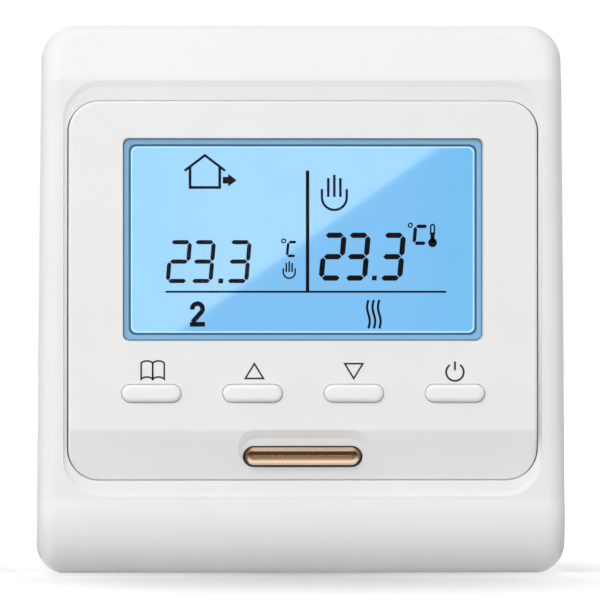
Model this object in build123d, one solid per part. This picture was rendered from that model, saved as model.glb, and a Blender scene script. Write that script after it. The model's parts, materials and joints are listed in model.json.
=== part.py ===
from build123d import *
import math
import os

# Wall thermostat for a 60 mm wall box: a wall plate with a rear box on its back,
# an outer frame and a front unit that plug onto the plate, and four buttons.
#
# Drawn as it hangs and seen from the front: x runs right, y runs up the wall and
# z runs out of the wall, with the origin on the wall, midway between the two wall
# screws. The files are turned at the end: +Z is up and the front faces -Y.
# Lengths are in millimetres and angles in degrees.

# ---------------------------------------------------------------- driving sizes
# Outline of the outer frame
frame_height = 90.5
frame_width_top = 85.4
frame_width_bottom = 87.3
frame_corner_radius_top = 5.8
frame_corner_radius_bottom = 5.0
frame_corner_radius_least = 0.5  # inside the walls
frame_wall = 1.8
frame_lift = 0.4                # the skirt ends this far off the wall
shoulder_radius = 3.0

# Front of the outer frame. The crest is the ridge around the front unit, and the
# margin is the dished strip between the crest and the front unit.
crest_top_out = 13.0
crest_bottom_out = 11.3
crest_radius = 1.8
crest_land = 0.6
crest_rim = 1.0                 # the top band is steeper this close to the crest
crest_rim_slope = 32.0
top_band = 8.55
top_band_slope = 18.0
bottom_band = 12.25
bottom_band_slope = 12.0        # at the crest, from where it curves to the wall
bottom_edge_out = 2.0
side_band = 3.65
margin_top = 3.85
margin_bottom = 3.25
margin_side = 0.67
margin_drop_top = 0.4
margin_drop_bottom = 0.8
margin_bevel_share = 0.3        # the part of the margin next to the crest is steeper
margin_bevel_drop = 0.6
margin_corner_radius = 6.2
opening_radius = 5.2
collar_wall = 1.2
vent_width = 1.5
vent_length = 4.5
vent_pitch = 4.0
vent_count = 9
release_notch_width = 8.0
release_notch_depth = 1.2
release_notch_spacing = 36.0

# Tabs that hold the frame and the front unit in sockets of the wall plate
tab_width = 6.0
tab_thickness = 1.6
tab_clearance = 0.1
tab_tip_gap = 0.6
tab_socket_wall = 1.2
tab_socket_out = 5.5
frame_tab_inset_side = 11.0
frame_tab_inset_top = 7.5
frame_tab_inset_bottom = 9.0
panel_tab_inset = 7.6

# Front panel
panel_gap = 0.2
panel_gap_top = 0.04
panel_gap_bottom = 0.05
panel_recess = 0.3              # below the top of the crest
panel_wall = 1.8
panel_edge_radius = 0.5
panel_slope = 20.0
panel_slope_height = 8.2
panel_bend_radius = 2.0
panel_back_gap = 0.6            # from the rim of the wall plate

# Display window and the stack of layers behind it
window_radius = 1.0
window_from_top = 6.1
window_from_side = 8.9
window_thickness = 1.2
window_inset = 0.2
window_clearance = 0.08
window_bevel = 0.3
ledge_width = 1.3
ledge_thickness = 1.0
ledge_pad = 1.5
polariser_thickness = 0.2
polariser_margin = 0.9
glass_thickness = 0.9
glass_margin = 1.7
glass_margin_top = 1.2
contact_ledge = 2.6
diffuser_thickness = 0.2
guide_thickness = 1.8
guide_end_gap = 1.3
zebra_width = 1.6
zebra_end_gap = 5.0             # from each end of the glass
holder_wall = 1.2
holder_fit = 0.15
led_width = 1.0
led_length = 3.0
led_height = 1.2
led_spacing = 16.0

# Buttons and their switches
button_width = 9.8
button_height = 2.9
button_clearance = 0.08
button_proud = 0.95
button_edge_radius = 0.8
button_overhang = 0.2           # the outer buttons reach past the window by this
button_above_bend = 6.15
button_below_window = 8.55
button_travel = 0.5
flange_margin = 0.9
flange_thickness = 0.8
switch_size = 6.0
switch_corner = 0.5
switch_spare_travel = 0.4
switch_stem_size = 3.3
switch_stem_clearance = 0.08
switch_stem_depth = 1.2

# Metal trim bar in its scoop
scoop_width = 20.0               # of its floor
scoop_height = 5.0
scoop_radius = 2.4
scoop_below_bend = 1.3
scoop_depth = 0.45
scoop_slope = 15.0
scoop_draft = 72.0               # of the walls around the floor
scoop_floor_wall = 1.8
trim_width = 19.2
trim_height = 3.1
trim_drop = 1.45                # from the top of the scoop's floor to the bar
trim_gap = 0.25
trim_gap_top = 0.17
trim_sink = 0.8                 # the foot of the bar sits in the floor

# Control board, carried by the front panel
board_thickness = 1.2
board_edge_gap = 0.7
board_notch_gap = 0.8
boss_size = 4.4
boss_gap = 0.35
board_screw_radius = 1.0
board_screw_head_radius = 1.9
board_screw_head_height = 1.1
board_screw_grip = 3.0
screw_tip_gap = 0.4
controller_size = 10.0
controller_lead_count = 5
controller_lead_pitch = 1.6
memory_width = 3.9
memory_length = 4.9
memory_lead_count = 4
memory_lead_pitch = 1.27
crystal_length = 3.2
crystal_width = 1.5
crystal_height = 0.8
chip_height = 1.3
chip_bevel = 0.2
chip_lead_length = 1.2
chip_lead_reach = 0.3
chip_lead_height = 0.15
sensor_radius = 1.2
sensor_lead = 0.5
sensor_lift = 1.8

# Wall plate and the two screws of the wall box
plate_thickness = 2.2
plate_gap = 2.2                 # from the inside of the frame
plate_rim_height = 4.0
plate_rim_wall = 1.2
wall_screw_pitch = 60.0
slot_width = 4.2
slot_length = 8.0

# Rear box
box_width = 50.0
box_height = 46.0
box_depth = 28.0
box_chamfer = 8.0
box_wall = 1.6
box_seat = 0.6                  # the plate's back is recessed to locate the box
box_seat_clearance = 0.1
terminal_zone_height = 13.5     # from the bottom of the box
terminal_zone_depth = 11.0
box_vent_width = 1.2
box_vent_length = 9.0
box_vent_pitch = 3.4
box_vent_count = 4
post_inset_side = 6.5
post_inset_end = 8.5
post_size = 5.0
box_screw_radius = 1.3
box_screw_head_radius = 2.3
box_screw_head_height = 1.2
box_screw_grip = 4.6
screw_head_clearance = 0.15
screw_slot_width = 0.6
screw_slot_share = 0.5          # of the height of the head
sleeve_size = 6.0

# Power board in the rear box
power_board_depth = 4.0         # behind the wall plane
power_board_thickness = 1.6
power_board_gap = 0.3
component_bevel = 0.4
regulator_width = 6.5
regulator_length = 3.5
regulator_height = 1.6
regulator_lead_height = 0.3

# Terminals
terminal_count = 6
terminal_pitch = 5.08
terminal_depth = 13.0
terminal_height = 11.0
terminal_gap = 0.4
wire_hole_depth = 8.0
wire_groove_width = 0.5
wire_groove_depth = 0.5
terminal_bevel = 0.8
clamp_width = 3.8
clamp_depth = 4.6
clamp_wall = 0.4
clamp_fit = 0.1
clamp_end_gap = 1.0
terminal_screw_radius = 1.6
terminal_screw_head = 1.4
terminal_screw_recess = 0.6

# Plug between the two boards
pin_rows = 2
pins_per_row = 5
pin_pitch = 2.54
pin_size = 0.64
pin_reach = 4.0
pin_clearance = 0.08
header_height = 2.5
socket_gap = 0.2
plug_opening_gap = 0.8

# ------------------------------------------------------------- places worked out
# Heights up the wall (y) and half-widths (x)
crest_top = frame_height / 2 - top_band
crest_bottom = -frame_height / 2 + bottom_band
crest_rim_out = crest_top_out - crest_rim * math.tan(math.radians(crest_rim_slope))
crest_half = (frame_width_top + frame_width_bottom) / 4 - side_band
opening_top = crest_top - margin_top
opening_bottom = crest_bottom + margin_bottom
opening_half = crest_half - margin_side

panel_top = opening_top - panel_gap_top
panel_bottom = opening_bottom + panel_gap_bottom
panel_half = opening_half - panel_gap
panel_radius = opening_radius - panel_gap
panel_bend = panel_bottom + panel_slope_height

button_y = panel_bend + button_above_bend
window_top = panel_top - window_from_top
window_bottom = button_y + button_below_window
window_width = 2 * (panel_half - window_from_side)
view_width = window_width - 2 * ledge_width
view_top = window_top - ledge_width
view_bottom = window_bottom + ledge_width

# Distances out of the wall (z)
panel_face = crest_top_out - panel_recess
panel_inside = panel_face - panel_wall
panel_back = plate_rim_height + panel_back_gap
window_front = panel_face - window_inset
window_back = window_front - window_thickness
ledge_back = window_back - ledge_thickness
front_glass_front = ledge_back - polariser_thickness
front_glass_back = front_glass_front - glass_thickness
rear_glass_back = front_glass_back - glass_thickness
rear_polariser_back = rear_glass_back - polariser_thickness
diffuser_back = rear_polariser_back - diffuser_thickness
board_front = diffuser_back - guide_thickness
board_back = board_front - board_thickness
flange_front = panel_inside
flange_back = flange_front - flange_thickness
switch_top = flange_back - button_travel - switch_spare_travel
tab_tip = plate_thickness + tab_tip_gap
power_board_front = -power_board_depth
power_board_back = power_board_front - power_board_thickness

# Places of what repeats
glass_half = view_width / 2 + glass_margin
glass_top = view_top + glass_margin_top
rear_glass_bottom = view_bottom - glass_margin_top
front_glass_bottom = rear_glass_bottom - contact_ledge
guide_half = glass_half - guide_end_gap
zebra_length = 2 * (glass_half - zebra_end_gap)
tab_socket_width = tab_width + 2 * (tab_clearance + tab_socket_wall)
tab_socket_thickness = tab_thickness + 2 * (tab_clearance + tab_socket_wall)
frame_tab_x = (frame_width_top + frame_width_bottom) / 4 - frame_tab_inset_side
frame_tabs = [
    (side * frame_tab_x, y)
    for side in (-1, 1)
    for y in (frame_height / 2 - frame_tab_inset_top, frame_tab_inset_bottom - frame_height / 2)
]
panel_tab_x = panel_half - panel_wall - board_edge_gap - tab_socket_thickness / 2
panel_tabs = [
    (side * panel_tab_x, y)
    for side in (-1, 1)
    for y in (panel_top - panel_tab_inset, panel_bottom + panel_tab_inset)
]
board_screw_x = panel_half - panel_wall - boss_gap - boss_size / 2
board_screws = [(side * board_screw_x, (panel_top + panel_bottom) / 2) for side in (-1, 1)]
post_x = box_width / 2 - post_inset_side
post_y = box_height / 2 - post_inset_end
box_posts = [(-post_x, post_y), (post_x, -post_y)]
button_names = ("menu", "up", "down", "power")
button_pitch = (window_width + 2 * button_overhang - button_width) / (len(button_names) - 1)
button_places = [
    (button_pitch * (index - (len(button_names) - 1) / 2), button_y)
    for index in range(len(button_names))
]
terminal_zone_top = -box_height / 2 + terminal_zone_height
room_bottom = terminal_zone_top + box_wall
room_height = box_height / 2 - box_wall - room_bottom
room_width = box_width - 2 * box_wall
room_depth = box_depth - box_wall + power_board_back
terminal_y = terminal_zone_top - terminal_gap - terminal_height / 2
terminal_places = [
    terminal_pitch * (index - (terminal_count - 1) / 2) for index in range(terminal_count)
]
pin_places = [
    (pin_pitch * (column - (pins_per_row - 1) / 2), pin_pitch * (row - (pin_rows - 1) / 2))
    for column in range(pins_per_row)
    for row in range(pin_rows)
]
beyond = 5.0                    # how far cutting shapes run past what they cut


# ---------------------------------------------------------------------- helpers
def block(face, low, high):
    """A face drawn flat, made solid between two distances from the wall."""
    return Pos(0, 0, low) * extrude(face, high - low)


def across(face, half):
    """A side view, drawn as (y, z), made solid to both sides of the middle."""
    return extrude(Plane.YZ * face, half, both=True)


def region(half, bottom, top, radius):
    """A rounded rectangle, even about the middle, between two heights."""
    return Pos(0, (bottom + top) / 2) * RectangleRounded(2 * half, top - bottom, radius)


def pill(width, height):
    return SlotOverall(width, height)


def at_each(places, shape):
    return [Pos(x, y) * shape for x, y in places]


def joined(solids):
    """Separate solids kept together as one sub-part."""
    return Compound(list(solids))


def pinned(radius, low, high, places):
    """A round post of the same size at each place."""
    return at_each(places, block(Circle(radius), low, high))


def studs(size, low, high, places):
    """A square post of the same size at each place."""
    return at_each(places, block(Rectangle(size, size), low, high))


def at_tabs(margin, low, high):
    """A block at each tab, larger than the tab by a margin all round."""
    width = tab_width + 2 * margin
    thickness = tab_thickness + 2 * margin
    flat = block(Rectangle(width, thickness), low, high)
    upright = block(Rectangle(thickness, width), low, high)
    return at_each(frame_tabs, flat), at_each(panel_tabs, upright)


# ------------------------------------------------------------------ outer frame
def frame_outline(inset=0.0):
    """The frame is a little wider at its foot than at its head."""
    half_height = frame_height / 2
    corners = Polyline(
        (-frame_width_bottom / 2, -half_height),
        (frame_width_bottom / 2, -half_height),
        (frame_width_top / 2, half_height),
        (-frame_width_top / 2, half_height),
        close=True,
    )
    face = make_face(corners)
    if inset:
        face = offset(face, -inset, kind=Kind.INTERSECTION)
    low_corners = face.vertices().filter_by(lambda corner: corner.Y < 0)
    face = fillet(low_corners, max(frame_corner_radius_bottom - inset, frame_corner_radius_least))
    top_corners = face.vertices().group_by(Axis.Y)[-1]
    return fillet(top_corners, max(frame_corner_radius_top - inset, frame_corner_radius_least))


def frame_side_view():
    """Straight top band, flat front and a foot that curves back to the wall."""
    top = (crest_top, crest_top_out)
    rim = (crest_top + crest_rim, crest_rim_out)
    head_y = frame_height / 2 + beyond
    head = (head_y, rim[1] - (head_y - rim[0]) * slope(top_band_slope))
    bottom = (crest_bottom, crest_bottom_out)
    centre_y, centre_z, radius = foot_arc()

    def on_arc(angle):
        turn = math.radians(angle)
        return (centre_y - radius * math.sin(turn), centre_z + radius * math.cos(turn))

    last = 80.0
    front = Polyline((head_y, -beyond), head, rim, top, bottom)
    foot = ThreePointArc(bottom, on_arc((bottom_band_slope + last) / 2), on_arc(last))
    back = Polyline(on_arc(last), (on_arc(last)[0], -beyond), (head_y, -beyond))
    return make_face(Wire([*front.edges(), *foot.edges(), *back.edges()]))


def slope(angle):
    return math.tan(math.radians(angle))


def foot_arc():
    """The arc that leaves the crest at its slope and passes the bottom edge."""
    turn = math.radians(bottom_band_slope)
    inward = (math.sin(turn), -math.cos(turn))
    chord = (-bottom_band, bottom_edge_out - crest_bottom_out)
    length = chord[0] ** 2 + chord[1] ** 2
    radius = -length / (2 * (chord[0] * inward[0] - chord[1] * inward[1]))
    return crest_bottom - radius * inward[0], crest_bottom_out + radius * inward[1], radius


def between(low, high):
    """The plane that runs across the frame through two points of its side view."""
    (low_y, low_z), (high_y, high_z) = low, high
    length = math.hypot(high_y - low_y, high_z - low_z)
    normal = (0, (low_z - high_z) / length, (high_y - low_y) / length)
    middle = (0, (low_y + high_y) / 2, (low_z + high_z) / 2)
    return Plane(origin=middle, x_dir=(1, 0, 0), z_dir=normal), length


def margin_section(share, drop):
    """The outline of the margin's surface, from the crest (0, 0) to the opening (1, 1)."""
    tilt = (crest_top_out - crest_bottom_out) / (crest_top - crest_bottom)
    low = crest_bottom + crest_land + (margin_bottom - crest_land) * share
    high = crest_top - crest_land - (margin_top - crest_land) * share
    low_out = crest_bottom_out + tilt * (low - crest_bottom) - margin_drop_bottom * drop
    high_out = crest_top_out - tilt * (crest_top - high) - margin_drop_top * drop
    plane, length = between((low, low_out), (high, high_out))
    return plane * RectangleRounded(2 * (crest_half - margin_side * share), length, margin_corner_radius)


def frame_margin():
    """What is cut from the front inside the crest, started above it and ended past the opening."""
    over = 0.3
    start = -over * margin_bevel_drop / margin_bevel_share
    end = 1 + over * (1 - margin_bevel_drop) / (1 - margin_bevel_share)
    steps = ((-over, start), (margin_bevel_share, margin_bevel_drop), (1 + over, end))
    return loft([margin_section(share, drop) for share, drop in steps], ruled=True)


def make_outer_frame():
    view = frame_side_view()
    breaks = (crest_top_out, crest_rim_out, crest_bottom_out)
    crests = [v for v in view.vertices() if min(abs(v.Y - out) for out in breaks) < 0.01]
    body = block(frame_outline(), frame_lift, crest_top_out + beyond)
    body &= across(fillet(crests, crest_radius), frame_width_bottom)
    walls = body.faces().filter_by(lambda face: abs(face.normal_at().Z) < 0.05)
    fronts = body.faces().filter_by(lambda face: face.normal_at().Z > 0.05)
    shoulder = [edge for edge in walls.edges() if edge in fronts.edges()]
    body = fillet(shoulder, shoulder_radius)

    body -= frame_margin()
    opening = region(opening_half, opening_bottom, opening_top, opening_radius)
    body -= block(opening, -beyond, crest_top_out + beyond)
    outside = body

    collar = offset(opening, collar_wall)
    inside = block(frame_outline(frame_wall), -beyond, crest_top_out)
    inside &= across(offset(view, -frame_wall, kind=Kind.INTERSECTION), frame_width_bottom)
    body -= inside - block(collar, plate_rim_height + panel_back_gap, crest_top_out)
    tabs = at_tabs(0, tab_tip, crest_top_out)[0]
    body += [tab & outside for tab in tabs]
    return body - frame_vents() - release_notches()


def frame_vents():
    """Slots through the top wall, for the air that the sensor measures."""
    vent = Box(vent_width, 6 * frame_wall, vent_length)
    top_edge_out = crest_rim_out - (top_band - crest_rim) * slope(top_band_slope) - shoulder_radius
    middle = (frame_lift + top_edge_out) / 2
    start = -vent_pitch * (vent_count - 1) / 2
    return [
        Pos(start + vent_pitch * index, frame_height / 2, middle) * vent
        for index in range(vent_count)
    ]


def release_notches():
    """Two notches in the bottom of the skirt, for a screwdriver."""
    notch = block(Rectangle(release_notch_width, 4 * frame_wall), -beyond, frame_lift + release_notch_depth)
    places = [(side * release_notch_spacing / 2, -frame_height / 2) for side in (-1, 1)]
    return at_each(places, notch)


# ------------------------------------------------------------------ front panel
def panel_outline(inset=0.0):
    radius = max(panel_radius - inset, 0.5)
    return region(panel_half - inset, panel_bottom + inset, panel_top - inset, radius)


def panel_side_view():
    low = panel_bottom - beyond
    high = panel_top + beyond
    low_out = panel_face - (panel_bend - low) * slope(panel_slope)
    corners = Polyline(
        (low, -beyond), (high, -beyond), (high, panel_face), (panel_bend, panel_face), (low, low_out),
        close=True,
    )
    face = make_face(corners)
    bend = face.vertices().filter_by(lambda v: abs(v.X - panel_bend) < 0.01)
    return fillet(bend, panel_bend_radius)


def window_outline(inset=0.0):
    radius = max(window_radius - inset, 0.4)
    return region(window_width / 2 - inset, window_bottom + inset, window_top - inset, radius)


def scoop_plane():
    """The floor of the scoop, at the scoop's upper edge."""
    top = panel_bend - scoop_below_bend
    out = panel_face - scoop_below_bend * slope(panel_slope) - scoop_depth
    return Plane(origin=(0, top, out), x_dir=(1, 0, 0), z_dir=(0, -slope(scoop_slope), 1))


def scoop_outline(margin=0.0):
    face = RectangleRounded(scoop_width + 2 * margin, scoop_height + 2 * margin, scoop_radius + margin)
    return Pos(0, -scoop_height / 2) * face


def make_front_panel():
    view = panel_side_view()
    body = block(panel_outline(), panel_back, panel_face + beyond)
    body &= across(view, panel_half + beyond)
    walls = body.faces().filter_by(lambda face: abs(face.normal_at().Z) < 0.05)
    fronts = body.faces().filter_by(lambda face: face.normal_at().Z > 0.05)
    body = fillet([edge for edge in walls.edges() if edge in fronts.edges()], panel_edge_radius)
    outside = body

    inside = block(panel_outline(panel_wall), -beyond, panel_face)
    inside &= across(offset(view, -panel_wall, kind=Kind.INTERSECTION), panel_half + beyond)
    body -= inside

    floor = scoop_plane()
    scoop = floor * extrude(scoop_outline(), 2 * scoop_depth, taper=-scoop_draft)
    body += [
        part & outside for part in (
            block(window_outline(-ledge_pad), ledge_back, panel_face),
            floor * Pos(0, 0, -scoop_floor_wall) * extrude(scoop_outline(scoop_floor_wall), 2 * scoop_floor_wall),
            *studs(boss_size, board_front, panel_face, board_screws),
            *at_tabs(0, tab_tip, panel_face)[1],
        )
    ]
    body -= scoop
    seat = Pos(0, trim_gap_top - trim_gap) * pill(trim_width + 2 * trim_gap, trim_height + 2 * trim_gap)
    body -= trim_place() * block(seat, -trim_sink, beyond)
    body -= block(window_outline(), window_back, panel_face + beyond)
    body -= block(window_outline(ledge_width), 0, panel_face + beyond)
    hole = pill(button_width + 2 * button_clearance, button_height + 2 * button_clearance)
    body -= at_each(button_places, block(hole, flange_back, panel_face + beyond))
    body -= pinned(board_screw_radius, 0, board_front + board_screw_grip, board_screws)
    return body


def trim_place():
    return scoop_plane() * Pos(0, -trim_drop - trim_height / 2)


def make_trim_bar():
    """Half of a round bar with ball ends, on a foot glued into the floor of the scoop."""
    radius = trim_height / 2
    straight = trim_width - trim_height
    bar = Rot(Y=90) * Cylinder(radius, straight)
    bar += [Pos(side * straight / 2) * Sphere(radius) for side in (-1, 1)]
    bar &= block(Rectangle(trim_width + beyond, trim_height + beyond), 0, beyond)
    bar += block(pill(trim_width, trim_height), -trim_sink, 0)
    return trim_place() * bar


# ---------------------------------------------------------------------- display
def make_display_window():
    window = block(window_outline(window_clearance), window_back, window_front)
    rim = window.faces().sort_by(Axis.Z)[-1].edges()
    return chamfer(rim, window_bevel)


def layer(half, bottom, top, low, high):
    """A sheet with cut corners left square, even about the middle."""
    return block(Pos(0, (bottom + top) / 2) * Rectangle(2 * half, top - bottom), low, high)


def make_front_polariser():
    half = view_width / 2 + polariser_margin
    bottom = view_bottom - polariser_margin
    return layer(half, bottom, view_top + polariser_margin, front_glass_front, ledge_back)


def make_rear_polariser():
    half = view_width / 2 + polariser_margin
    bottom = view_bottom - polariser_margin
    return layer(half, bottom, view_top + polariser_margin, rear_polariser_back, rear_glass_back)


def make_front_glass():
    return layer(glass_half, front_glass_bottom, glass_top, front_glass_back, front_glass_front)


def make_rear_glass():
    return layer(glass_half, rear_glass_bottom, glass_top, rear_glass_back, front_glass_back)


def make_diffuser():
    return layer(guide_half, rear_glass_bottom, glass_top, diffuser_back, rear_polariser_back)


def make_light_guide():
    return layer(guide_half, rear_glass_bottom, glass_top, board_front, diffuser_back)


def make_zebra_strip():
    middle = (front_glass_bottom + rear_glass_bottom) / 2
    strip = Pos(0, middle) * Rectangle(zebra_length, zebra_width)
    return block(strip, board_front, front_glass_back)


def make_lcd_holder():
    """A frame on the board: a deep pocket for the light guide and a step for the glass."""
    fit = holder_fit
    wall = holder_fit + holder_wall
    holder = layer(glass_half + wall, front_glass_bottom - wall, glass_top + wall, board_front, ledge_back)
    holder -= layer(glass_half + fit, front_glass_bottom - fit, glass_top + fit, front_glass_back, panel_face)
    holder -= layer(glass_half + fit, rear_glass_bottom - fit, glass_top + fit, 0, front_glass_back)
    middle = (front_glass_bottom + rear_glass_bottom) / 2
    groove = Pos(0, middle) * Rectangle(zebra_length + 2 * fit, zebra_width + 2 * fit)
    return holder - block(groove, 0, front_glass_back)


def make_backlight_leds():
    """Two side-firing diodes on the board, against the left edge of the light guide."""
    led = Box(led_width, led_length, led_height, align=(Align.MAX, Align.CENTER, Align.MIN))
    dome = Pos(0, 0, led_height / 2) * Box(led_width / 4, led_length * 0.7, led_height * 0.6)
    led -= dome
    middle = (glass_top + rear_glass_bottom) / 2
    return joined(
        Pos(-guide_half, middle + side * led_spacing / 2, board_front) * led for side in (-1, 1)
    )


# ------------------------------------------------------------- buttons, switches
def make_button():
    cap = block(pill(button_width, button_height), flange_front, panel_face + button_proud)
    cap = fillet(cap.faces().sort_by(Axis.Z)[-1].edges(), button_edge_radius)
    flange = Rectangle(button_width + 2 * flange_margin, button_height + 2 * flange_margin)
    return cap + block(flange, flange_back, flange_front)


def make_switch_stem():
    return block(Rectangle(switch_stem_size, switch_stem_size), switch_top - switch_stem_depth, flange_back)


def make_tact_switches():
    """Square switch bodies with a well for the stem and a foot at each corner."""
    body = block(Rectangle(switch_size, switch_size), board_front, switch_top)
    body = chamfer(body.edges().filter_by(Axis.Z), switch_corner)
    depth = switch_stem_depth + button_travel + switch_stem_clearance
    well = switch_stem_size + 2 * switch_stem_clearance
    body -= block(Rectangle(well, well), switch_top - depth, switch_top)
    foot = Box(switch_size / 4, switch_size * 0.12, 0.4, align=(Align.CENTER, Align.CENTER, Align.MIN))
    for side in (-1, 1):
        for end in (-1, 1):
            body += Pos(side * switch_size * 0.55, end * switch_size * 0.38, board_front) * foot
    return joined(at_each(button_places, body))


# ---------------------------------------------------------------- control board
def make_control_board():
    """The board has a notch in its edge at each socket of the wall plate."""
    board = block(panel_outline(panel_wall + board_edge_gap), board_back, board_front)
    reach = tab_socket_thickness / 2 + board_notch_gap
    for x, y in panel_tabs:
        side = math.copysign(1, x)
        notch = Rectangle(reach + beyond, tab_socket_width + 2 * board_notch_gap)
        board -= Pos(x + side * (beyond - reach) / 2, y) * block(notch, 0, panel_face)
    return board - pinned(board_screw_radius, 0, panel_face, board_screws)


def make_panel_screws():
    shank = block(Circle(board_screw_radius), board_back, board_front + board_screw_grip - screw_tip_gap)
    head = block(Circle(board_screw_head_radius), board_back - board_screw_head_height, board_back)
    slot_end = board_back - board_screw_head_height * screw_slot_share
    slot = block(Rectangle(2 * board_screw_head_radius, screw_slot_width), 0, slot_end)
    return joined(at_each(board_screws, head + shank - slot))


def chip(width, length, leads, lead_pitch):
    """A flat chip on the back of the control board, with leads down two sides."""
    top = board_back - chip_lead_height
    body = block(Rectangle(width, length), board_back - chip_height, top)
    body = chamfer(body.edges().group_by(Axis.Z)[0], chip_bevel)
    lead = block(Rectangle(chip_lead_length, lead_pitch * 0.4), board_back - 2 * chip_lead_height, board_back)
    for index in range(leads):
        y = lead_pitch * (index - (leads - 1) / 2)
        for side in (-1, 1):
            body += Pos(side * (width / 2 + chip_lead_reach), y) * lead
    return body


def make_microcontroller():
    body = chip(controller_size, controller_size, controller_lead_count, controller_lead_pitch)
    return Pos(-opening_half * 0.44, panel_bend * -0.4) * body


def make_memory_chip():
    body = chip(memory_width, memory_length, memory_lead_count, memory_lead_pitch)
    return Pos(-opening_half * 0.12, panel_bend * -0.66) * body


def make_clock_crystal():
    can = block(Rectangle(crystal_length, crystal_width), board_back - crystal_height, board_back)
    return Pos(-opening_half * 0.44, panel_bend * -0.02) * can


def make_air_sensor():
    """Thermistor that stands off the lower edge of the board on two leads."""
    bead = Pos(0, 0, board_front + sensor_lift) * Cylinder(sensor_radius, 2 * sensor_radius)
    lead = block(Rectangle(sensor_lead, sensor_lead), board_front, board_front + sensor_lift)
    leads = at_each([(-sensor_radius / 2, 0), (sensor_radius / 2, 0)], lead)
    low = panel_bottom + panel_wall + board_edge_gap
    return Pos(-button_pitch * 1.2, low + 2 * sensor_radius) * (bead + leads)


# ------------------------------------------------------- plug between the boards
def plug_face(margin=0.0):
    return Rectangle(pins_per_row * pin_pitch + 2 * margin, pin_rows * pin_pitch + 2 * margin)


def make_board_socket():
    socket = block(plug_face(), power_board_front + header_height + socket_gap, board_back)
    hole = Rectangle(pin_size + 2 * pin_clearance, pin_size + 2 * pin_clearance)
    well = power_board_front + header_height + pin_reach + socket_gap
    return socket - at_each(pin_places, block(hole, power_board_front, well))


def make_header_body():
    body = block(plug_face(), power_board_front, power_board_front + header_height)
    hole = Rectangle(pin_size, pin_size)
    return body - at_each(pin_places, block(hole, power_board_front, panel_face))


def make_header_pins():
    pin = block(Rectangle(pin_size, pin_size), power_board_front, power_board_front + header_height + pin_reach)
    pin = chamfer(pin.faces().sort_by(Axis.Z)[-1].edges(), pin_size / 4)
    return joined(at_each(pin_places, pin))


# ------------------------------------------------------------------- wall plate
def box_outline(inset=0.0):
    """The box is a rectangle with cut corners, to go into a round wall box."""
    face = Rectangle(box_width - 2 * inset, box_height - 2 * inset)
    return chamfer(face.vertices(), box_chamfer - inset * (2 - math.sqrt(2)))


def make_wall_plate():
    plate = block(frame_outline(frame_wall + plate_gap), 0, plate_thickness)
    rim = frame_outline(frame_wall + plate_gap) - frame_outline(frame_wall + plate_gap + plate_rim_wall)
    plate += block(rim, 0, plate_rim_height)
    for sockets in at_tabs(tab_clearance + tab_socket_wall, 0, tab_socket_out):
        plate += sockets
    for slots in at_tabs(tab_clearance, plate_thickness, tab_socket_out):
        plate -= slots
    plate -= block(box_outline(-box_seat_clearance), -beyond, box_seat)
    plate += studs(sleeve_size, power_board_front, plate_thickness, box_posts)
    plate -= pinned(box_screw_radius, power_board_front, plate_thickness, box_posts)
    head_hole = box_screw_head_radius + screw_head_clearance
    plate -= pinned(head_hole, plate_thickness - box_screw_head_height, beyond, box_posts)
    plate -= block(plug_face(plug_opening_gap), -beyond, beyond)
    slot = block(pill(slot_length, slot_width), -beyond, beyond)
    return plate - at_each([(-wall_screw_pitch / 2, 0), (wall_screw_pitch / 2, 0)], slot)


# --------------------------------------------------------------------- rear box
def below(height):
    """Everything under a height, as a face to cut with."""
    width = 2 * box_width
    return Pos(0, height - width / 2) * Rectangle(width, width)


def make_rear_housing():
    """Deep above, and shallow below where the terminals come through its back."""
    deep_zone = box_outline() - below(terminal_zone_top)
    housing = block(box_outline(), -terminal_zone_depth, box_seat)
    housing += block(deep_zone, -box_depth, -terminal_zone_depth)
    back_edges = housing.faces().sort_by(Axis.Z)[0].edges()
    housing = chamfer(back_edges, box_wall / 2)
    housing -= block(box_outline(box_wall), -terminal_zone_depth + box_wall, beyond)
    room = box_outline(box_wall) - below(room_bottom)
    housing -= block(room, -box_depth + box_wall, beyond)
    posts = studs(post_size, -box_depth + box_wall, power_board_back, box_posts)
    housing += [post & block(box_outline(), -box_depth, 0) for post in posts if post.center().Y > 0]
    low_posts = studs(post_size, -terminal_zone_depth, power_board_back, box_posts)
    housing += [post & block(box_outline(), -box_depth, 0) for post in low_posts if post.center().Y < 0]
    tip = power_board_back - box_screw_grip - screw_tip_gap
    housing -= pinned(box_screw_radius, tip, power_board_back, box_posts)
    terminal_hole = Pos(0, terminal_y) * Rectangle(
        terminal_count * terminal_pitch + 2 * terminal_gap, terminal_height + 2 * clamp_fit
    )
    housing -= block(terminal_hole, -box_depth, -terminal_zone_depth + box_wall)
    return housing - box_vents()


def box_vents():
    """Cooling slots through both side walls of the deep part."""
    slot = Box(2 * box_width, box_vent_width, box_vent_length)
    top = room_bottom + 2 * box_vent_width
    out = -(terminal_zone_depth + box_depth) / 2
    return [Pos(0, top + box_vent_pitch * index, out) * slot for index in range(box_vent_count)]


def make_housing_screws():
    """Through the plate and the power board into the posts of the rear box."""
    seat = plate_thickness - box_screw_head_height
    shank = block(Circle(box_screw_radius), power_board_back - box_screw_grip, seat)
    head = block(Circle(box_screw_head_radius), seat, plate_thickness)
    slot_end = plate_thickness - box_screw_head_height * screw_slot_share
    slot = block(Rectangle(2 * box_screw_head_radius, screw_slot_width), slot_end, beyond)
    return joined(at_each(box_posts, head + shank - slot))


# ------------------------------------------------------------------ power board
def make_power_board():
    board = block(box_outline(box_wall + power_board_gap), power_board_back, power_board_front)
    return board - pinned(box_screw_radius, power_board_back, power_board_front, box_posts)


def in_room(x, y, shape):
    """Stand a part, drawn upright from z = 0, at shares of the room behind the board."""
    place = Pos(x * room_width / 2, room_bottom + y * room_height, power_board_back)
    return place * Rot(X=180) * shape


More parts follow.
